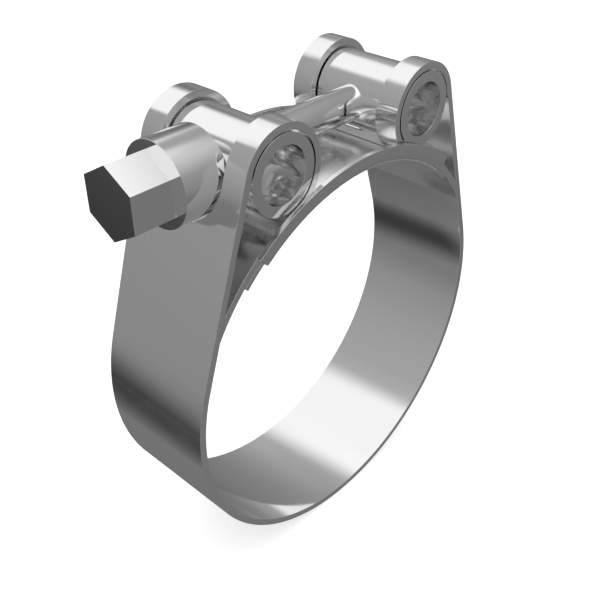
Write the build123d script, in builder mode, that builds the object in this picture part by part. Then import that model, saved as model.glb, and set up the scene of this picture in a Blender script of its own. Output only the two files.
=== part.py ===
from build123d import *
import math
import os

os.makedirs("parts", exist_ok=True)

# Frame: the pipe's axis is Y, the bolt runs along X, Z is up, and the origin is the centre of the clamped pipe.
# Angles are measured at that centre, from the top of the ring.

# Band strip
pipe_radius = 34.5
strip_thickness = 1.2
strip_width = 22.0

# Cross bars in the loops
bar_radius = 6.25
bar_angle = 22.6
bar_bore_radius = 4.5
loop_clearance = 0.3

# Bolt
bolt_radius = 3.0
tip_reach = 0.6
head_across_flats = 9.85
head_length = 7.65
thread_clearance = 0.05
tip_chamfer = 0.5
passing_clearance = 0.3

# Spacer sleeve
sleeve_radius = 6.55
sleeve_length = 7.73
seat_gap = 0.03
slot_clearance = 0.4

# Bridge sheet
bridge_lift = 0.1
bridge_thickness = 0.8
bridge_bend_radius = 1.45
tail_gap = 0.05
flange_gap = 0.7
flange_height = 3.0
flange_angle = 37.5
web_angle = 45.0

# Middle lines of the strip, and the cross bars' places over the bridge
ring_radius = pipe_radius + strip_thickness / 2
bridge_bore_radius = pipe_radius + bridge_lift
flange_top_radius = bridge_bore_radius + flange_height
loop_radius = bar_radius + loop_clearance + strip_thickness / 2
tail_radius = bridge_bore_radius + bridge_thickness + tail_gap + strip_thickness / 2
bar_reach = tail_radius + loop_radius
bar_x = bar_reach * math.sin(math.radians(bar_angle))
bar_z = bar_reach * math.cos(math.radians(bar_angle))
leg_angle = bar_angle + math.degrees(math.acos((ring_radius - loop_radius) / bar_reach))
tail_angle = leg_angle - math.degrees(math.acos(ring_radius / tail_radius))
slot_radius = sleeve_radius + slot_clearance
sleeve_inner_x = bar_x + bar_radius + seat_gap
sleeve_outer_x = sleeve_inner_x + sleeve_length


# Band: one strip round the pipe, up both legs, round both cross bars and back along the ring to its own leg
with BuildPart() as band:
    with BuildSketch(Plane.XZ):
        with BuildLine():
            half_ring = CenterArc((0, 0), ring_radius, -90, 180 - leg_angle)
            loop = CenterArc((bar_x, bar_z), loop_radius, 90 - leg_angle, leg_angle + 180 - bar_angle)
            Line(half_ring @ 1, loop @ 0)
        trace(line_width=strip_thickness)
        with BuildLine():
            CenterArc((0, 0), tail_radius, 90 - bar_angle, bar_angle - tail_angle)
        trace(line_width=strip_thickness)
        mirror(about=Plane.YZ)
    extrude(amount=strip_width / 2, both=True)
    # Slots through both legs, round-footed to let the sleeve and the bolt pass, and open upward over the loops
    for side in (-1, 1):
        with BuildSketch(Plane.YZ.offset(side * bar_x)):
            with Locations((0, bar_z)):
                Circle(slot_radius)
                Rectangle(2 * slot_radius, 2 * slot_radius, align=(Align.CENTER, Align.MIN))
        extrude(amount=side * sleeve_outer_x, mode=Mode.SUBTRACT)
    # The same slots run on down the inner sides, to where each loop comes to rest on the ring
    with BuildSketch(Plane.XZ):
        Polygon((0, 0), (2 * bar_x, 2 * bar_z), (-2 * bar_x, 2 * bar_z), align=None)
    extrude(amount=slot_radius, both=True, mode=Mode.SUBTRACT)

band.part.label = "band"
export_step(band.part, "parts/band.step")

# Bridge: one curved sheet inside the ring's gap, with a guide flange folded up along each long edge
flange_start = Plane(
    origin=(0, 0, 0),
    x_dir=(-math.sin(math.radians(flange_angle)), 0, math.cos(math.radians(flange_angle))),
    z_dir=(-math.cos(math.radians(flange_angle)), 0, -math.sin(math.radians(flange_angle))),
)
web_start = Plane(
    origin=(0, 0, 0),
    x_dir=(-math.sin(math.radians(web_angle)), 0, math.cos(math.radians(web_angle))),
    z_dir=(-math.cos(math.radians(web_angle)), 0, -math.sin(math.radians(web_angle))),
)
sheet_middle_radius = bridge_bore_radius + bridge_thickness / 2
sheet_middle_y = strip_width / 2 + flange_gap + bridge_thickness / 2
flat_web_width = 2 * (sheet_middle_y + bridge_thickness / 2 - bridge_bend_radius)
with BuildPart() as bridge:
    with BuildSketch(flange_start):
        with BuildLine():
            FilletPolyline(
                (flange_top_radius, -sheet_middle_y),
                (sheet_middle_radius, -sheet_middle_y),
                (sheet_middle_radius, sheet_middle_y),
                (flange_top_radius, sheet_middle_y),
                radius=bridge_bend_radius - bridge_thickness / 2,
            )
        trace(line_width=bridge_thickness)
    revolve(axis=Axis.Y, revolution_arc=2 * flange_angle)
    with BuildSketch(web_start):
        with Locations((sheet_middle_radius, 0)):
            Rectangle(bridge_thickness, flat_web_width)
    revolve(axis=Axis.Y, revolution_arc=2 * web_angle)

bridge.part.label = "bridge"
export_step(bridge.part, "parts/bridge.step")

# Plain cross bar: a piece of thick-walled tube with a clearance hole for the bolt through both walls
with BuildPart() as plain_trunnion:
    with BuildSketch(Plane.XZ):
        with Locations((-bar_x, bar_z)):
            Circle(bar_radius)
            Circle(bar_bore_radius, mode=Mode.SUBTRACT)
    extrude(amount=strip_width / 2, both=True)
    with BuildSketch(Plane.YZ.offset(-bar_x)):
        with Locations((0, bar_z)):
            Circle(bolt_radius + passing_clearance)
    extrude(amount=bar_radius, both=True, mode=Mode.SUBTRACT)

plain_trunnion.part.label = "plain_trunnion"
export_step(plain_trunnion.part, "parts/plain_trunnion.step")

# Threaded cross bar: the same tube, with both walls tapped for the bolt
with BuildPart() as threaded_trunnion:
    with BuildSketch(Plane.XZ):
        with Locations((bar_x, bar_z)):
            Circle(bar_radius)
            Circle(bar_bore_radius, mode=Mode.SUBTRACT)
    extrude(amount=strip_width / 2, both=True)
    with BuildSketch(Plane.YZ.offset(bar_x)):
        with Locations((0, bar_z)):
            Circle(bolt_radius + thread_clearance)
    extrude(amount=bar_radius, both=True, mode=Mode.SUBTRACT)

threaded_trunnion.part.label = "threaded_trunnion"
export_step(threaded_trunnion.part, "parts/threaded_trunnion.step")

# Spacer sleeve: tube that carries the head's pull through the slot in the left leg to the plain cross bar
with BuildPart() as spacer_sleeve:
    with BuildSketch(Plane.YZ.offset(-sleeve_inner_x)):
        with Locations((0, bar_z)):
            Circle(sleeve_radius)
            Circle(bolt_radius + passing_clearance, mode=Mode.SUBTRACT)
    extrude(amount=-sleeve_length)

spacer_sleeve.part.label = "spacer_sleeve"
export_step(spacer_sleeve.part, "parts/spacer_sleeve.step")

# Hexagon bolt: sharp-edged head and a smooth shank that reaches just through the threaded cross bar
head_seat_x = sleeve_outer_x + seat_gap
shank_length = head_seat_x + bar_x + bar_radius + tip_reach
with BuildPart() as hex_bolt:
    with BuildSketch(Plane.YZ.offset(-head_seat_x)):
        with Locations((0, bar_z)):
            RegularPolygon(head_across_flats / 2, 6, major_radius=False, rotation=90)
    extrude(amount=-head_length)
    with BuildSketch(Plane.YZ.offset(-head_seat_x)):
        with Locations((0, bar_z)):
            Circle(bolt_radius)
    extrude(amount=shank_length)
    tip_edge = hex_bolt.edges().sort_by(Axis.X)[-1]
    chamfer(tip_edge, length=tip_chamfer)

hex_bolt.part.label = "hex_bolt"
export_step(hex_bolt.part, "parts/hex_bolt.step")
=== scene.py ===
import math

import bpy
import numpy as np
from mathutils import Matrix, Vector


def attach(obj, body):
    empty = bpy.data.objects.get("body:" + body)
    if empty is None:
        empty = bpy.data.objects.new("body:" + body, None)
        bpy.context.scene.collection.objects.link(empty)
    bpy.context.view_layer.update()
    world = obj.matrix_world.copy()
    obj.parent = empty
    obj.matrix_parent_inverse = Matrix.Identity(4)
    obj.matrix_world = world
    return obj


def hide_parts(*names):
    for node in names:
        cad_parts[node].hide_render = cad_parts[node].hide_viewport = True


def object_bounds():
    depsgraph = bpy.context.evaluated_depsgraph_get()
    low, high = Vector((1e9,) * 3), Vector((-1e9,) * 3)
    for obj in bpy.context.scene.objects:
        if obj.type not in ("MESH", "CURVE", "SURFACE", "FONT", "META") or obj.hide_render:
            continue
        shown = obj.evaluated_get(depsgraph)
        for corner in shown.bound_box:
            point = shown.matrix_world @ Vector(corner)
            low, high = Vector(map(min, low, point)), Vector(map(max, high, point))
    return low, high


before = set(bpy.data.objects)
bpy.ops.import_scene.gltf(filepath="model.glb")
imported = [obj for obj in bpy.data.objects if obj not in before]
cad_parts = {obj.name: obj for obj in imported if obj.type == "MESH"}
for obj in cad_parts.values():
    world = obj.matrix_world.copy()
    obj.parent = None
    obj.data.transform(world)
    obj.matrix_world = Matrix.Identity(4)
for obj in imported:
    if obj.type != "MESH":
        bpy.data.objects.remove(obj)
loaded_low, loaded_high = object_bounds()

# Band
# One strip of bright cold-rolled stainless steel, bent round the pipe, up both legs and round the cross bars.
# Its slots are punched while it is flat. Each end comes back along the ring and is joined to its own leg.
# Lengths are in millimetres until a mesh is made, and headings in degrees, with 0 along +X and 90 up.
pipe_radius = 34.5
half_width = 11.0
half_strip = 0.6
strip_edge = 0.06
bar_radius = 6.25
bar_heading = 67.4
loop_clearance = 0.3
slot_half = 6.95
weld_depth = 0.02
# The ends lie over the bridge, which is a sheet just off the pipe
bridge_lift = 0.1
half_sheet = 0.4
tail_gap = 0.05
ring_radius = pipe_radius + half_strip
loop_radius = bar_radius + loop_clearance + half_strip
tail_radius = pipe_radius + bridge_lift + 2 * half_sheet + tail_gap + half_strip
bar_reach = tail_radius + loop_radius
bar_x = bar_reach * math.cos(math.radians(bar_heading))
bar_z = bar_reach * math.sin(math.radians(bar_heading))
leg_heading = bar_heading - math.degrees(math.acos((ring_radius - loop_radius) / bar_reach))
loop_end = bar_heading + 180
tail_end = loop_end - bar_heading + leg_heading + math.degrees(math.acos(ring_radius / tail_radius))
along_y = np.array([0.0, 1.0, 0.0])


def piece(name, body, node_name, grids):
    """One closed mesh from grids of points and normals. Each cell is two triangles, turned to face along its
    normals. Points that fall together are joined, and a triangle that shrinks to a line there is left out."""
    points = np.concatenate([p.reshape(-1, 3) for p, n in grids]) / 1000
    normals = np.concatenate([n.reshape(-1, 3) for p, n in grids])
    normals = normals / np.linalg.norm(normals, axis=1, keepdims=True)
    start = np.cumsum([0] + [p.shape[0] * p.shape[1] for p, n in grids])
    cells = []
    for first, (p, n) in zip(start, grids):
        index = np.arange(p.shape[0] * p.shape[1]).reshape(p.shape[:2]) + first
        a, b, c, d = index[:-1, :-1], index[1:, :-1], index[1:, 1:], index[:-1, 1:]
        cells.append(np.stack([a, b, c, a, c, d], axis=-1).reshape(-1, 3))
    cells = np.concatenate(cells)
    p = points[cells]
    faces_to = np.cross(p[:, 1] - p[:, 0], p[:, 2] - p[:, 0])
    inward = (faces_to * normals[cells].sum(axis=1)).sum(axis=1) < 0
    cells[inward] = cells[inward][:, ::-1]
    kept, same = np.unique(np.round(points, 7), axis=0, return_inverse=True)
    joined = same.reshape(-1)[cells]
    whole = (joined != np.roll(joined, 1, axis=1)).all(axis=1)
    joined, cells = joined[whole], cells[whole]
    mesh = bpy.data.meshes.new(name)
    mesh.vertices.add(len(kept))
    mesh.vertices.foreach_set("co", kept.ravel())
    mesh.loops.add(joined.size)
    mesh.loops.foreach_set("vertex_index", joined.ravel())
    mesh.polygons.add(len(joined))
    mesh.polygons.foreach_set("loop_start", np.arange(0, joined.size, 3))
    mesh.polygons.foreach_set("use_smooth", np.ones(len(joined), bool))
    mesh.update(calc_edges=True)
    mesh.normals_split_custom_set(normals[cells].reshape(-1, 3))
    made = bpy.data.objects.new(name, mesh)
    bpy.context.collection.objects.link(made)
    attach(made, body)
    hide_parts(node_name)
    return made


def faces(middle, up, half):
    """Both faces of a sheet: its middle surface moved by half its thickness along its normal, and back."""
    up = np.broadcast_to(up, middle.shape)
    return [(middle + half * up, up), (middle - half * up, -up)]


def rim(middle, up, out, reach, half, edge):
    """Rounded edge of a sheet: from the upper face a quarter circle to the edge, across it, and one more to
    the lower face. out is the way that the edge faces, and reach also holds the mitre where edges meet."""
    quarter = np.linspace(0, 90, 5)
    turn = np.radians(np.concatenate([quarter, quarter + 90]))[:, None]
    level = np.repeat([half - edge, edge - half], len(quarter))[:, None] + edge * np.cos(turn)
    up, out, reach = (np.broadcast_to(v, middle.shape)[:, None] for v in (up, out, reach))
    place = middle[:, None] + reach * edge * np.sin(turn) + up * level
    return place, out * np.sin(turn) + up * np.cos(turn)


def mirrored(grids, *axes):
    """The same grids again on the other side of the middle plane of each axis."""
    for axis in axes:
        flip = np.ones(3)
        flip[axis] = -1
        grids = grids + [(p * flip, n * flip) for p, n in grids]
    return grids


def heading_vectors(headings):
    """The outward direction of a heading, and the direction in which the strip runs on there."""
    turn = np.radians(headings)
    level = np.zeros_like(turn)
    out = np.stack([np.cos(turn), level, np.sin(turn)], axis=-1)
    run = np.stack([-np.sin(turn), level, np.cos(turn)], axis=-1)
    return out, run


def trimmed(points):
    """The tail's points, held back to where their circle round the pipe has just entered the leg."""
    reach = np.hypot(points[..., 0], points[..., 2])
    leg_inner = np.minimum((ring_radius - half_strip + weld_depth) / reach, 1)
    lowest = np.radians(leg_heading) + np.arccos(leg_inner)
    turn = np.maximum(np.arctan2(points[..., 2], points[..., 0]), lowest)
    return np.stack([reach * np.cos(turn), points[..., 1], reach * np.sin(turn)], axis=-1)


# The strip's middle line: the ring's arc, a straight leg, an arc round the bar and an arc back over the ring
bar_centre = np.array([bar_x, 0.0, bar_z])
inset_half = slot_half + strip_edge
ring_headings = np.linspace(-90, leg_heading, 121)
loop_headings = np.linspace(leg_heading, loop_end, 186)[:-1]
tail_headings = np.linspace(loop_end - math.degrees(strip_edge / tail_radius), tail_end, 31)
leg_out, leg_run = heading_vectors(np.array([leg_heading]))
leg_foot = ring_radius * leg_out[0]
foot_turn = np.radians(np.linspace(0, 90, 25))
foot_rise = (bar_z - inset_half * np.cos(foot_turn) - leg_foot[2]) / leg_run[0, 2]
foot_line = leg_foot + foot_rise[:, None] * leg_run
ring_line = ring_radius * heading_vectors(ring_headings)[0]
loop_line = bar_centre + loop_radius * heading_vectors(loop_headings)[0]
tail_line = -tail_radius * heading_vectors(tail_headings)[0]

# Three runs of rows: the plain ring and leg, the strand beside the slot, and the plain tail
share = np.linspace(0, 1, 9)[None, :, None]
across = np.linspace(0, inset_half, 9)
plain = np.concatenate([ring_line, foot_line[:1]])
plain_up = heading_vectors(np.append(ring_headings, leg_heading))[0]
strand = np.concatenate([foot_line, loop_line, tail_line[:1]])
strand_headings = np.concatenate([np.full(len(foot_turn), leg_heading), loop_headings, tail_headings[:1]])
strand_up, strand_run = heading_vectors(strand_headings)
strand_inner = np.concatenate([inset_half * np.sin(foot_turn), np.full(len(loop_line) + 1, inset_half)])
tail_up, tail_run = heading_vectors(tail_headings)
outer_y = half_width - strip_edge
strand_y = strand_inner[:, None, None] + (outer_y - strand_inner[:, None, None]) * share
tail_y = np.append(across, inset_half + (outer_y - inset_half) * share[0, 1:, 0])
band_grids = faces(plain[:, None] + outer_y * share * along_y, plain_up[:, None], half_strip)
band_grids += faces(strand[:, None] + strand_y * along_y, strand_up[:, None], half_strip)
band_grids += [(trimmed(p), n) for p, n in
               faces(tail_line[:, None] + tail_y[:, None] * along_y, tail_up[:, None], half_strip)]

# The outer edge runs along all three, and the slot's edge round its foot, along the strand and across its end
edge_line = np.concatenate([plain[:-1], strand[:-1], tail_line]) + outer_y * along_y
edge_up = np.concatenate([plain_up[:-1], strand_up[:-1], tail_up])
edge_place, edge_normal = rim(edge_line, edge_up, along_y, along_y, half_strip, strip_edge)
edge_place[-len(tail_line):] = trimmed(edge_place[-len(tail_line):])
band_grids.append((edge_place, edge_normal))
slot_out = np.tile(-along_y, (len(strand), 1))
foot_up = leg_run[0, 2] * np.cos(foot_turn)[:, None] * leg_run
slot_out[:len(foot_turn)] = foot_up - np.sin(foot_turn)[:, None] * along_y
slot_out /= np.linalg.norm(slot_out, axis=1, keepdims=True)
slot_reach = slot_out.copy()
slot_reach[-1] -= strand_run[-1]
strand_edge = strand + strand_inner[:, None] * along_y
band_grids.append(rim(strand_edge, strand_up, slot_out, slot_reach, half_strip, strip_edge))
end_line = tail_line[0] + across[:, None] * along_y
end_reach = np.tile(-tail_run[0], (len(across), 1))
end_reach[-1] -= along_y
band_grids.append(rim(end_line, tail_up[0], -tail_run[0], end_reach, half_strip, strip_edge))

# The tail's end is closed where it lies inside the leg
cap_line = tail_line[-1:] + outer_y * along_y
cap_edge = rim(cap_line, tail_up[-1], along_y, along_y, half_strip, strip_edge)[0]
cap_level = ((cap_edge[0] - tail_line[-1]) @ tail_up[-1])[:, None, None]
cap_middle = tail_line[-1] + cap_level * tail_up[-1] + tail_y[:, None] * along_y
band_grids.append((trimmed(cap_middle), np.broadcast_to(tail_run[-1], cap_middle.shape)))
cap_side = np.stack([cap_middle[:, -1], cap_edge[0]], axis=1)
band_grids.append((trimmed(cap_side), np.broadcast_to(tail_run[-1], cap_side.shape)))
band = piece("clamp_band", "clamp", "band", mirrored(band_grids, 0, 1))


def linear(hex_colour):
    """Linear RGBA of an sRGB hex colour: c/12.92 below 0.04045, otherwise ((c+0.055)/1.055)^2.4."""
    parts = np.array([int(hex_colour[i:i + 2], 16) for i in (1, 3, 5)]) / 255
    low = parts / 12.92
    high = ((parts + 0.055) / 1.055) ** 2.4
    return (*np.where(parts <= 0.04045, low, high), 1.0)


def node(tree, kind, settings=(), **inputs):
    """Adds one node. settings are its properties. Each input, named with _ for a space or i and its number,
    takes a value or a socket."""
    made = tree.nodes.new(kind)
    for name, value in dict(settings).items():
        setattr(made, name, value)
    for name, value in inputs.items():
        numbered = name[0] == "i" and name[1:].isdigit()
        socket = made.inputs[int(name[1:])] if numbered else made.inputs[name.replace("_", " ")]
        if isinstance(value, bpy.types.NodeSocket):
            tree.links.new(value, socket)
        else:
            socket.default_value = value
    return made


def bare_metal(name, colour, *targets):
    """A metal material with its colour set, put on every target. Returns its node tree and its shader."""
    made = bpy.data.materials.new(name)
    made.use_nodes = True
    shader = made.node_tree.nodes["Principled BSDF"]
    shader.inputs["Metallic"].default_value = 1.0
    shader.inputs["Base Color"].default_value = linear(colour)
    for target in targets:
        target.data.materials.clear()
        target.data.materials.append(made)
    return made.node_tree, shader


# Cold-rolled stainless steel with a bright finish: nearly a mirror, with faint lines along the strip.
# Real rolling lines are about 0.02 mm apart. They are drawn 0.3 mm apart, or they wouldn't show at all.
tree, shader = bare_metal("bright_rolled_stainless_strip", "#F0F0F0", band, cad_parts["band"])
place = node(tree, "ShaderNodeTexCoord").outputs["Object"]
rolled = node(tree, "ShaderNodeMapping", Vector=place, Scale=(60, 3300, 60)).outputs[0]
lines = node(tree, "ShaderNodeTexNoise", Vector=rolled, Scale=1.0, Detail=2.0).outputs["Fac"]
mottle = node(tree, "ShaderNodeTexNoise", Vector=place, Scale=160.0, Detail=2.0).outputs["Fac"]
gloss = node(tree, "ShaderNodeMapRange", Value=mottle, From_Min=0.3, From_Max=0.7, To_Min=0.04, To_Max=0.09)

# Polishing reaches the strip's outside and the ring, but not the fold between leg and tail, which stays dull.
# The fold lies on the pipe's side of the leg's middle line and outside the ring's inner face, under the bar.
fold_side = (ring_radius - half_strip / 2) / 1000
fold_top = 0.0345
fold_dullness = 0.13
folded = node(tree, "ShaderNodeVectorMath", {"operation": "ABSOLUTE"}, i0=place).outputs[0]
to_leg = node(tree, "ShaderNodeVectorMath", {"operation": "DOT_PRODUCT"},
              i0=folded, i1=leg_out[0]).outputs["Value"]
flat = node(tree, "ShaderNodeMapping", Vector=place, Scale=(1, 0, 1)).outputs[0]
from_axis = node(tree, "ShaderNodeVectorMath", {"operation": "LENGTH"}, i0=flat).outputs["Value"]
level = node(tree, "ShaderNodeSeparateXYZ", Vector=place).outputs["Z"]
inside = node(tree, "ShaderNodeMapRange", Value=to_leg,
              From_Min=fold_side, From_Max=fold_side + 0.0002, To_Min=1.0, To_Max=0.0)
beyond = node(tree, "ShaderNodeMapRange", Value=from_axis,
              From_Min=fold_side, From_Max=fold_side + 0.0005)
under = node(tree, "ShaderNodeMapRange", Value=level,
             From_Min=fold_top - 0.001, From_Max=fold_top + 0.001, To_Min=fold_dullness, To_Max=0.0)
fold = node(tree, "ShaderNodeMath", {"operation": "MULTIPLY"}, i0=inside.outputs[0], i1=beyond.outputs[0])
dull = node(tree, "ShaderNodeMath", {"operation": "MULTIPLY"}, i0=fold.outputs[0], i1=under.outputs[0])
rough = node(tree, "ShaderNodeMath", {"operation": "ADD"}, i0=gloss.outputs[0], i1=dull.outputs[0])
bump = node(tree, "ShaderNodeBump", Height=lines, Strength=0.1, Distance=0.000004)
tree.links.new(rough.outputs[0], shader.inputs["Roughness"])
tree.links.new(bump.outputs[0], shader.inputs["Normal"])

# Bridge
# A loose curved sheet of the same steel across the ring's gap, under both loops. Its long edges are folded up
# into guide flanges, which stop short of the sheet's ends, so that the band's edges slide between them.
sheet_edge = 0.05
flange_gap = 0.7
flange_height = 3.0
bend_radius = 1.05
flange_angle = 37.5
sheet_angle = 45.0
web_count = 9
sheet_radius = pipe_radius + bridge_lift + half_sheet
flange_top = pipe_radius + bridge_lift + flange_height
flange_y = half_width + flange_gap + half_sheet
web_y = flange_y - bend_radius - sheet_edge
bend_turn = np.radians(np.linspace(0, 90, 11))
bend_place = np.stack([flange_y - bend_radius + bend_radius * np.sin(bend_turn),
                       sheet_radius + bend_radius - bend_radius * np.cos(bend_turn)], axis=1)
bend_up = np.stack([-np.sin(bend_turn), np.cos(bend_turn)], axis=1)
web_place = np.stack([np.linspace(0, web_y, web_count), np.full(web_count, sheet_radius)], axis=1)
top_place = np.array([[flange_y, flange_top - sheet_edge]])
section = np.concatenate([web_place, bend_place, top_place])
section_up = np.concatenate([np.tile([0.0, 1.0], (web_count, 1)), bend_up, [[-1.0, 0.0]]])


def swung(pairs, angles):
    """A section in pairs of (Y, distance from the pipe's axis), swung round it by angles from the top."""
    turn = np.radians(np.asarray(angles))[:, None]
    y, level = pairs[None, :, 0], pairs[None, :, 1]
    return np.stack([level * np.sin(turn), y + 0 * turn, level * np.cos(turn)], axis=-1)


def swing_run(angles):
    """The direction in which the sheet runs on at each angle from the top."""
    turn = np.radians(np.asarray(angles))
    return np.stack([np.cos(turn), 0 * turn, -np.sin(turn)], axis=-1)


inset_angle = math.degrees(sheet_edge / sheet_radius)
flange_angles = np.linspace(0, flange_angle - inset_angle, 49)
lip_angles = np.linspace(flange_angle - inset_angle, sheet_angle - inset_angle, 11)
flange_part, flange_up = swung(section, flange_angles), swung(section_up, flange_angles)
lip_part, lip_up = swung(section[:web_count], lip_angles), swung(section_up[:web_count], lip_angles)
bridge_grids = faces(flange_part, flange_up, half_sheet) + faces(lip_part, lip_up, half_sheet)
top_out = swung(np.array([[0.0, 1.0]]), flange_angles)[:, 0]
top_reach = top_out.copy()
end_run = swing_run(flange_angles)[-1]
top_reach[-1] += end_run
bridge_grids.append(rim(flange_part[:, -1], flange_up[:, -1], top_out, top_reach, half_sheet, sheet_edge))
end_part, end_up = flange_part[-1, web_count - 1:], flange_up[-1, web_count - 1:]
end_reach = np.tile(end_run, (len(end_part), 1))
end_reach[-1] += top_out[-1]
end_reach[0] += along_y
bridge_grids.append(rim(end_part, end_up, end_run, end_reach, half_sheet, sheet_edge))
side_reach = np.tile(along_y, (len(lip_angles), 1))
lip_run = swing_run(lip_angles)[-1]
side_reach[0] += end_run
side_reach[-1] += lip_run
bridge_grids.append(rim(lip_part[:, -1], lip_up[:, -1], along_y, side_reach, half_sheet, sheet_edge))
lip_reach = np.tile(lip_run, (web_count, 1))
lip_reach[-1] += along_y
bridge_grids.append(rim(lip_part[-1], lip_up[-1], lip_run, lip_reach, half_sheet, sheet_edge))
bridge = piece("bridge_sheet", "clamp", "bridge", mirrored(bridge_grids, 0, 1))

# Rolled stainless sheet, duller than the strip: its reflections are soft and a little grainy.
# The grain of the rolled skin is about 0.05 mm wide, and is drawn 0.4 mm wide so that it shows.
tree, shader = bare_metal("rolled_stainless_sheet", "#EEEEEE", bridge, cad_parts["bridge"])
place = node(tree, "ShaderNodeTexCoord").outputs["Object"]
rolled = node(tree, "ShaderNodeMapping", Vector=place, Scale=(700, 2400, 700)).outputs[0]
grain = node(tree, "ShaderNodeTexNoise", Vector=rolled, Scale=1.0, Detail=3.0).outputs["Fac"]
gloss = node(tree, "ShaderNodeMapRange", Value=grain, From_Min=0.3, From_Max=0.7, To_Min=0.16, To_Max=0.26)
bump = node(tree, "ShaderNodeBump", Height=grain, Strength=0.1, Distance=0.00001)
tree.links.new(gloss.outputs[0], shader.inputs["Roughness"])
tree.links.new(bump.outputs[0], shader.inputs["Normal"])

# Cross bars
# Two pieces of thick-walled stainless tube that lie loose in the band's loops. The left one is drilled
# through for the bolt's shank, and the right one is drilled and tapped through both walls for its thread.
bore_radius = 4.5
bar_edge = 0.06
plain_hole = 3.3
tapped_hole = 3.0
outward_growth = 1.3
inset_y = half_width - bar_edge
round_steps = np.linspace(-90, 90, 65)
length_steps = np.linspace(-inset_y, inset_y, 41)
across_count, round_count = len(length_steps) - 1, len(round_steps)
border_angle = np.radians(np.concatenate([np.full(across_count, 90.0), round_steps[:0:-1],
                                          np.full(across_count, -90.0), round_steps]))
border_y = np.concatenate([length_steps[:-1], np.full(round_count - 1, inset_y),
                           length_steps[:0:-1], np.full(round_count, -inset_y)])
hole_turn = np.arctan2(bar_radius * border_angle, border_y)


def bar_wall(radius, hole, facing):
    """Half of a tube's wall round one bolt hole. From the hole's edge, where its circle meets the tube, steps
    run straight on the unrolled wall to the border of that half. facing is 1 outside and -1 in the bore."""
    edge_angle = np.arcsin(hole * np.sin(hole_turn) / radius)
    edge_y = hole * np.cos(hole_turn)
    part = (np.linspace(0, 1, 17) ** outward_growth)[:, None]
    angle = edge_angle + (border_angle - edge_angle) * part
    y = edge_y + (border_y - edge_y) * part
    out = np.stack([np.cos(angle), 0 * angle, np.sin(angle)], axis=-1)
    return radius * out + y[..., None] * along_y, facing * out


def bar_end(radius, bore):
    """Half of a tube's end ring, with a quarter circle to the outside and one to the bore."""
    turn = np.radians(np.linspace(0, 90, 5))
    level = np.concatenate([radius - bar_edge + bar_edge * np.cos(turn),
                            bore + bar_edge - bar_edge * np.cos(turn[::-1])])
    y = inset_y + bar_edge * np.sin(np.concatenate([turn, turn[::-1]]))
    lean = np.concatenate([np.cos(turn), -np.cos(turn[::-1])])
    face = np.sin(np.concatenate([turn, turn[::-1]]))
    angle = np.radians(round_steps)[:, None]
    place = np.stack([level * np.cos(angle), y + 0 * angle, level * np.sin(angle)], axis=-1)
    return place, np.stack([lean * np.cos(angle), face + 0 * angle, lean * np.sin(angle)], axis=-1)


def bar_hole(radius, bore, hole):
    """The wall of one bolt hole, along X between the two curves where it meets the outside and the bore."""
    y, z = hole * np.cos(hole_turn), hole * np.sin(hole_turn)
    depth = np.stack([np.sqrt(radius ** 2 - z ** 2), np.sqrt(bore ** 2 - z ** 2)])
    place = np.stack([depth, np.stack([y, y]), np.stack([z, z])], axis=-1)
    return place, -place * [0, 1, 1]


def bar_grids(side, hole):
    """A whole cross bar, from its half round one hole, at its place in the left (-1) or right (1) loop."""
    end_place, end_normal = bar_end(bar_radius, bore_radius)
    half = [bar_wall(bar_radius, hole, 1), bar_wall(bore_radius, hole, -1),
            bar_hole(bar_radius, bore_radius, hole), (end_place, end_normal),
            (end_place * [1, -1, 1], end_normal * [1, -1, 1])]
    return [(p + [side * bar_x, 0, bar_z], n) for p, n in mirrored(half, 0)]


left_bar = piece("left_cross_bar", "clamp", "plain_trunnion", bar_grids(-1, plain_hole))
right_bar = piece("right_cross_bar", "clamp", "threaded_trunnion", bar_grids(1, tapped_hole))

# Drawn stainless tube, ground bright outside and left dull in the bore, so that the bore's reflections blur.
# Drawing lines run along the tube. Real ones are 0.03 mm apart, and they are drawn 0.25 mm apart to show.
bore_skin = (bore_radius + 0.1) / 1000
for name, bar, cad_name, side in (("drawn_stainless_tube_left", left_bar, "plain_trunnion", -1),
                                  ("drawn_stainless_tube_right", right_bar, "threaded_trunnion", 1)):
    tree, shader = bare_metal(name, "#F0F0F0", bar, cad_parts[cad_name])
    place = node(tree, "ShaderNodeTexCoord").outputs["Object"]
    drawn = node(tree, "ShaderNodeMapping", Vector=place, Scale=(4000, 90, 4000)).outputs[0]
    lines = node(tree, "ShaderNodeTexNoise", Vector=drawn, Scale=1.0, Detail=2.0).outputs["Fac"]
    centre = (-side * bar_x / 1000, 0, -bar_z / 1000)
    flat = node(tree, "ShaderNodeMapping", Vector=place, Location=centre, Scale=(1, 0, 1)).outputs[0]
    reach = node(tree, "ShaderNodeVectorMath", {"operation": "LENGTH"}, i0=flat).outputs["Value"]
    dull = node(tree, "ShaderNodeMapRange", Value=reach,
                From_Min=bore_skin, From_Max=bore_skin + 0.0001, To_Min=0.11, To_Max=0.07)
    fine = node(tree, "ShaderNodeMapRange", Value=lines,
                From_Min=0.3, From_Max=0.7, To_Min=-0.01, To_Max=0.03)
    rough = node(tree, "ShaderNodeMath", {"operation": "ADD"}, i0=dull.outputs[0], i1=fine.outputs[0])
    bump = node(tree, "ShaderNodeBump", Height=lines, Strength=0.1, Distance=0.000004)
    tree.links.new(rough.outputs[0], shader.inputs["Roughness"])
    tree.links.new(bump.outputs[0], shader.inputs["Normal"])

# Spacer sleeve
# A short turned tube between the bolt's head and the left cross bar. It passes through the slot in the left
# leg and carries the head's pull to the bar, which its inner end just touches. It is loose on the shank.
sleeve_radius = 6.55
sleeve_bore = 3.3
sleeve_length = 7.73
sleeve_edge = 0.05
seat_gap = 0.03
sleeve_stop = -22.85
sleeve_start = -(bar_x + bar_radius + seat_gap + sleeve_length)


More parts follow.
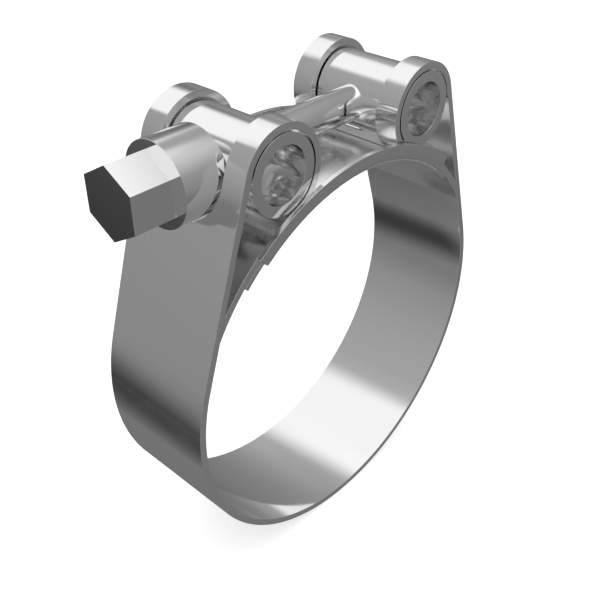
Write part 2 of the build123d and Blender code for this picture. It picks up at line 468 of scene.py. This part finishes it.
def rounded(corners, edge, steps=5):
    """A closed outline through corners given in turn, with a small arc of radius edge at each, and its
    normals to the right of the way round. Each arc's centre lies back from its corner along both normals."""
    corners = np.asarray(corners, float)
    ahead = np.roll(corners, -1, axis=0) - corners
    ahead /= np.linalg.norm(ahead, axis=1, keepdims=True)
    right = np.stack([ahead[:, 1], -ahead[:, 0]], axis=1)
    before = np.roll(right, 1, axis=0)
    centre = corners - edge * (before + right) / (1 + (before * right).sum(axis=1, keepdims=True))
    part = np.linspace(0, 1, steps)[None, :, None]
    normal = before[:, None] * (1 - part) + right[:, None] * part
    normal /= np.linalg.norm(normal, axis=2, keepdims=True)
    return (centre[:, None] + edge * normal).reshape(-1, 2), normal.reshape(-1, 2)


def turned(outline, outline_normals, count):
    """An outline in pairs of (X, radius), turned round the bolt's axis in count equal steps."""
    turn = np.radians(np.linspace(0, 360, count + 1))[:, None]
    place = [np.stack([pair[:, 0] + 0 * turn, pair[:, 1] * np.cos(turn), pair[:, 1] * np.sin(turn)], axis=-1)
             for pair in (outline, outline_normals)]
    return place[0] + [0, 0, bar_z], place[1]


sleeve_corners = [(sleeve_start, sleeve_radius), (sleeve_start, sleeve_bore),
                  (sleeve_stop, sleeve_bore), (sleeve_stop, sleeve_radius)]
sleeve_outline, sleeve_normals = rounded(sleeve_corners, sleeve_edge)
sleeve_outline, sleeve_normals = (np.concatenate([v, v[:1]]) for v in (sleeve_outline, sleeve_normals))
sleeve = piece("spacer_sleeve_turned", "sleeve", "spacer_sleeve",
               [turned(sleeve_outline, sleeve_normals, 120)])

# Turned stainless steel: bright, with very fine rings round the axis from the tool.
# A finishing cut leaves rings about 0.05 mm apart, and they are drawn 0.25 mm apart to show.
tree, shader = bare_metal("turned_stainless_sleeve", "#F0F0F0", sleeve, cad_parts["spacer_sleeve"])
place = node(tree, "ShaderNodeTexCoord").outputs["Object"]
cut = node(tree, "ShaderNodeMapping", Vector=place, Scale=(4000, 120, 120)).outputs[0]
rings = node(tree, "ShaderNodeTexNoise", Vector=cut, Scale=1.0, Detail=2.0).outputs["Fac"]
gloss = node(tree, "ShaderNodeMapRange", Value=rings, From_Min=0.3, From_Max=0.7, To_Min=0.05, To_Max=0.1)
bump = node(tree, "ShaderNodeBump", Height=rings, Strength=0.1, Distance=0.000004)
tree.links.new(gloss.outputs[0], shader.inputs["Roughness"])
tree.links.new(bump.outputs[0], shader.inputs["Normal"])

# Hexagon bolt
# A stainless bolt with a sharp-edged hexagon head. Its plain shank crosses both bars, and the rolled thread
# at its far end turns in the right one. The thread's pitch is 1 mm, the standard one for a 6 mm bolt.
head_flats = 4.925
head_length = 7.65
head_edge = 0.04
head_press = 0.01
shank_radius = 3.0
thread_start = 11.3
thread_pitch = 1.0
thread_depth = 0.58
crest_share = 0.125
root_share = 0.25
tip_reach = 0.6
tip_chamfer = 0.5
head_seat = sleeve_start + head_press
head_end = sleeve_start - seat_gap - head_length
tip_end = bar_x + bar_radius + tip_reach
corner_turn = np.radians(np.arange(90, 450, 60))
corner_reach = head_flats / math.cos(math.radians(30))
hexagon = corner_reach * np.stack([np.cos(corner_turn), np.sin(corner_turn)], axis=1)
arc_place, arc_normal = rounded(hexagon, head_edge)
flat_share = np.linspace(0, 1, 10)[None, :-1, None]
arcs, arc_normals = arc_place.reshape(6, -1, 2), arc_normal.reshape(6, -1, 2)
flats = arcs[:, -1:] + (np.roll(arcs, -1, axis=0)[:, :1] - arcs[:, -1:]) * flat_share
around = np.concatenate([arcs[:, :-1], flats], axis=1).reshape(-1, 2)
flat_normals = np.repeat(arc_normals[:, -1:], flats.shape[1], axis=1)
around_normal = np.concatenate([arc_normals[:, :-1], flat_normals], axis=1).reshape(-1, 2)
around, around_normal = (np.concatenate([v, v[:1]]) for v in (around, around_normal))


def upright(pairs, x):
    """Pairs of (Y, Z) from the bolt's axis, put at each X."""
    return np.stack([x + 0 * pairs[..., 0], pairs[..., 0], pairs[..., 1]], axis=-1)


lip_turn = np.radians(np.linspace(0, 90, 5))
side_x = np.concatenate([[head_seat], head_end + head_edge - head_edge * np.sin(lip_turn)])
side_inset = np.concatenate([[0.0], head_edge - head_edge * np.cos(lip_turn)])
side_lean = np.concatenate([[0.0], lip_turn])
side_place = around[:, None] - side_inset[None, :, None] * around_normal[:, None]
head_side = upright(side_place, side_x[None, :])
head_normal = upright(around_normal[:, None] * np.cos(side_lean)[None, :, None], -np.sin(side_lean)[None, :])
cap_share = np.linspace(1, 0, 7)[None, :, None]
head_cap = upright(side_place[:, -1:] * cap_share, head_end)
ring = around / np.linalg.norm(around, axis=1, keepdims=True)
seat_share = np.linspace(0, 1, 4)[None, :, None]
seat_place = around[:, None] * (1 - seat_share) + shank_radius * ring[:, None] * seat_share
head_seat_ring = upright(seat_place, head_seat)
facing_out, facing_in = (np.array([v, 0.0, 0.0]) for v in (-1.0, 1.0))


def thread_radius(x, turn):
    """Distance from the axis: a thread that climbs one pitch in a turn, with a flat crest of an eighth of it
    and a flat root of a quarter. It fades in from the plain shank, and the tip's chamfer cuts it off."""
    climb = (x - thread_pitch * turn / (2 * np.pi)) / thread_pitch
    from_crest = np.abs((climb % 1) - 0.5) * 2
    flank = np.clip((from_crest - crest_share) / (1 - crest_share - root_share), 0, 1)
    fade = np.clip((x - thread_start) / thread_pitch, 0, 1)
    groove = thread_depth * (flank * flank * (3 - 2 * flank)) * fade * fade * (3 - 2 * fade)
    return np.minimum(shank_radius - groove, shank_radius - tip_chamfer + (tip_end - x))


shank_turn = np.unwrap(np.arctan2(ring[:, 1], ring[:, 0]))[:, None]
plain_x, threaded_x = np.linspace(head_seat, thread_start, 20), np.linspace(thread_start, tip_end, 300)
shank_x = np.concatenate([plain_x[:-1], threaded_x])[None]
radius = thread_radius(shank_x, shank_turn)
step = 0.002
rise_x = thread_radius(shank_x + step, shank_turn) - thread_radius(shank_x - step, shank_turn)
rise_turn = thread_radius(shank_x, shank_turn + step) - thread_radius(shank_x, shank_turn - step)
slope_x, slope_turn = rise_x / 2 / step, rise_turn / 2 / step / radius
out_y, out_z = np.cos(shank_turn), np.sin(shank_turn)
shank = np.stack([shank_x + 0 * radius, radius * out_y, radius * out_z], axis=-1)
shank_normal = np.stack([-slope_x, out_y + slope_turn * out_z, out_z - slope_turn * out_y], axis=-1)
tip = upright(shank[:, -1:, 1:] * cap_share, tip_end)
bolt_grids = [(head_side, head_normal), (head_cap, np.broadcast_to(facing_out, head_cap.shape)),
              (head_seat_ring, np.broadcast_to(facing_in, head_seat_ring.shape)), (shank, shank_normal),
              (tip, np.broadcast_to(facing_in, tip.shape))]
bolt_grids = [(p + [0, 0, bar_z], n) for p, n in bolt_grids]
bolt = piece("hexagon_bolt", "bolt", "hex_bolt", bolt_grids)

# Bright stainless bolt stock: drawn smooth, with faint marks of the die along the shank and on the flats.
# Such marks are about 0.03 mm wide, and they are drawn 0.3 mm wide to show.
tree, shader = bare_metal("bright_stainless_bolt", "#F0F0F0", bolt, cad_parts["hex_bolt"])
place = node(tree, "ShaderNodeTexCoord").outputs["Object"]
drawn = node(tree, "ShaderNodeMapping", Vector=place, Scale=(100, 3300, 3300)).outputs[0]
marks = node(tree, "ShaderNodeTexNoise", Vector=drawn, Scale=1.0, Detail=2.0).outputs["Fac"]
gloss = node(tree, "ShaderNodeMapRange", Value=marks, From_Min=0.3, From_Max=0.7, To_Min=0.05, To_Max=0.1)
bump = node(tree, "ShaderNodeBump", Height=marks, Strength=0.1, Distance=0.000004)
tree.links.new(gloss.outputs[0], shader.inputs["Roughness"])
tree.links.new(bump.outputs[0], shader.inputs["Normal"])

# Floor
# A plain white studio floor just under the ring, left out of mirror reflections so that the steel stays grey.
floor_half = 3.0
floor_z = loaded_low[2]
floor_corners = [(-floor_half, -floor_half, floor_z), (floor_half, -floor_half, floor_z),
                 (floor_half, floor_half, floor_z), (-floor_half, floor_half, floor_z)]
floor_mesh = bpy.data.meshes.new("floor")
floor_mesh.from_pydata(floor_corners, [], [(0, 1, 2, 3)])
floor = bpy.data.objects.new("floor", floor_mesh)
bpy.context.collection.objects.link(floor)
floor.visible_glossy = False
paper = bpy.data.materials.new("white_studio_paper")
paper.use_nodes = True
shader = paper.node_tree.nodes["Principled BSDF"]
shader.inputs["Base Color"].default_value = linear("#FFFFFF")
shader.inputs["Roughness"].default_value = 0.6
shader.inputs["Emission Color"].default_value = (1, 1, 1, 1)
shader.inputs["Emission Strength"].default_value = 0.6
floor_mesh.materials.append(paper)

# Studio light
# A soft grey surround that brightens upward. White soft boxes and black flags stand round the clamp, as a
# photographer sets them, because bright steel shows nothing but what it mirrors.
steel_reflects = 0.871
# Each level is what the steel shows. Here it goes with the upward part of a direction.
surround_levels = [(-0.45, 0.17), (-0.20, 0.23), (0.65, 0.33), (0.80, 0.41), (0.92, 1.28)]
darker_right = -0.2
darker_back = -0.1
edge_on = 0.02
world = bpy.data.worlds.new("studio")
bpy.context.scene.world = world
world.use_nodes = True
tree = world.node_tree
tree.nodes.clear()
direction = node(tree, "ShaderNodeTexCoord").outputs["Generated"]
split = node(tree, "ShaderNodeSeparateXYZ", Vector=direction)
height = node(tree, "ShaderNodeMapRange", Value=split.outputs["Z"], From_Min=-1.0, From_Max=1.0)
ramp = node(tree, "ShaderNodeValToRGB", Fac=height.outputs[0])
while len(ramp.color_ramp.elements) < len(surround_levels):
    ramp.color_ramp.elements.new(0.5)
for element, (up_part, level) in zip(ramp.color_ramp.elements, surround_levels):
    element.position = (up_part + 1) / 2
    element.color = (level, level, level, 1)
lean = node(tree, "ShaderNodeMath", {"operation": "MULTIPLY_ADD"},
            i0=split.outputs["X"], i1=darker_right, i2=1.0).outputs[0]
lean = node(tree, "ShaderNodeMath", {"operation": "MULTIPLY_ADD"},
            i0=split.outputs["Y"], i1=darker_back, i2=lean).outputs[0]
light = node(tree, "ShaderNodeMath", {"operation": "MULTIPLY"}, i0=ramp.outputs["Color"], i1=lean).outputs[0]


def board(light, heading, elevation, half_size, soft_edge, roll, level, cover=1.0):
    """The surround with one more board in it, which faces the clamp from a heading and an elevation in
    degrees and is turned by its roll. Its half size and soft edges, across and up, are parts of its distance.
    Inside them it brings the light to its level, by the share that it covers."""
    a, e, r = (math.radians(v) for v in (heading, elevation, roll))
    centre = Vector((math.cos(e) * math.cos(a), math.cos(e) * math.sin(a), math.sin(e)))
    level_across = Vector((-math.sin(a), math.cos(a), 0))
    level_up = centre.cross(level_across)
    board_across = level_across * math.cos(r) + level_up * math.sin(r)
    board_up = level_up * math.cos(r) - level_across * math.sin(r)
    toward, aside, above = (
        node(tree, "ShaderNodeVectorMath", {"operation": "DOT_PRODUCT"},
             i0=direction, i1=axis).outputs["Value"]
        for axis in (centre, board_across, board_up))
    mask = node(tree, "ShaderNodeMath", {"operation": "GREATER_THAN"}, i0=toward, i1=edge_on).outputs[0]
    distance = node(tree, "ShaderNodeMath", {"operation": "MAXIMUM"}, i0=toward, i1=edge_on).outputs[0]
    for offset, half, soft in zip((aside, above), half_size, soft_edge):
        ratio = node(tree, "ShaderNodeMath", {"operation": "DIVIDE"}, i0=offset, i1=distance).outputs[0]
        away = node(tree, "ShaderNodeMath", {"operation": "ABSOLUTE"}, i0=ratio).outputs[0]
        inside = node(tree, "ShaderNodeMapRange", {"interpolation_type": "SMOOTHSTEP"}, Value=away,
                      From_Min=half - soft / 2, From_Max=half + soft / 2, To_Min=1.0, To_Max=0.0).outputs[0]
        mask = node(tree, "ShaderNodeMath", {"operation": "MULTIPLY"}, i0=mask, i1=inside).outputs[0]
    part = node(tree, "ShaderNodeMath", {"operation": "MULTIPLY"}, i0=mask, i1=cover).outputs[0]
    return node(tree, "ShaderNodeMix", {"data_type": "FLOAT"}, Factor=part, i2=light, i3=level).outputs[0]


# The large soft box high behind the clamp, and the wide soft glow and the lower box on its right
light = board(light, 110, 72, half_size=(0.4, 1.2), soft_edge=(0.25, 0.4), roll=-55, level=0.9)
light = board(light, 52, 31, half_size=(0.1, 0.2), soft_edge=(0.7, 0.9), roll=-10, level=0.8)
light = board(light, 85, 18, half_size=(0.4, 0.65), soft_edge=(0.15, 0.15), roll=-8, level=0.9)
# The black flag low behind, and a small one under the glow
light = board(light, 109, -15, half_size=(0.2, 0.9), soft_edge=(0.35, 0.1), roll=33, level=0.04)
light = board(light, 51, 18, half_size=(0.1, 0.2), soft_edge=(0.2, 0.3), roll=15, level=0.0, cover=0.6)
# The long faint strip light high on the right, a little to the front
light = board(light, -20, 57, half_size=(0.55, 0.1), soft_edge=(1.8, 0.3), roll=35, level=1.2, cover=0.4)
gained = node(tree, "ShaderNodeMath", {"operation": "DIVIDE"}, i0=light, i1=steel_reflects).outputs[0]
surround = node(tree, "ShaderNodeBackground", Color=(1, 1, 1, 1), Strength=gained).outputs[0]
white = node(tree, "ShaderNodeBackground", Color=(1, 1, 1, 1), Strength=1.0).outputs[0]
camera_ray = node(tree, "ShaderNodeLightPath").outputs["Is Camera Ray"]
mixed = node(tree, "ShaderNodeMixShader", i0=camera_ray, i1=surround, i2=white).outputs[0]
node(tree, "ShaderNodeOutputWorld", Surface=mixed)

# Camera
# Looks down from the front left, with its place and lens worked out from edges in the photograph.
camera_data = bpy.data.cameras.new("camera")
camera = bpy.data.objects.new("camera", camera_data)
bpy.context.collection.objects.link(camera)
camera_data.sensor_width = 36.0
camera_data.lens = 49.375
camera_data.clip_start = 0.01
camera.location = (-0.09166, -0.08264, 0.09085)
camera.rotation_euler = [math.radians(v) for v in (55.27, -0.06, -47.48)]
bpy.context.scene.camera = camera
bpy.context.scene.view_settings.view_transform = "Standard"
# Light that mirrors many times between the steel walls must not end black
bpy.context.scene.cycles.glossy_bounces = 12
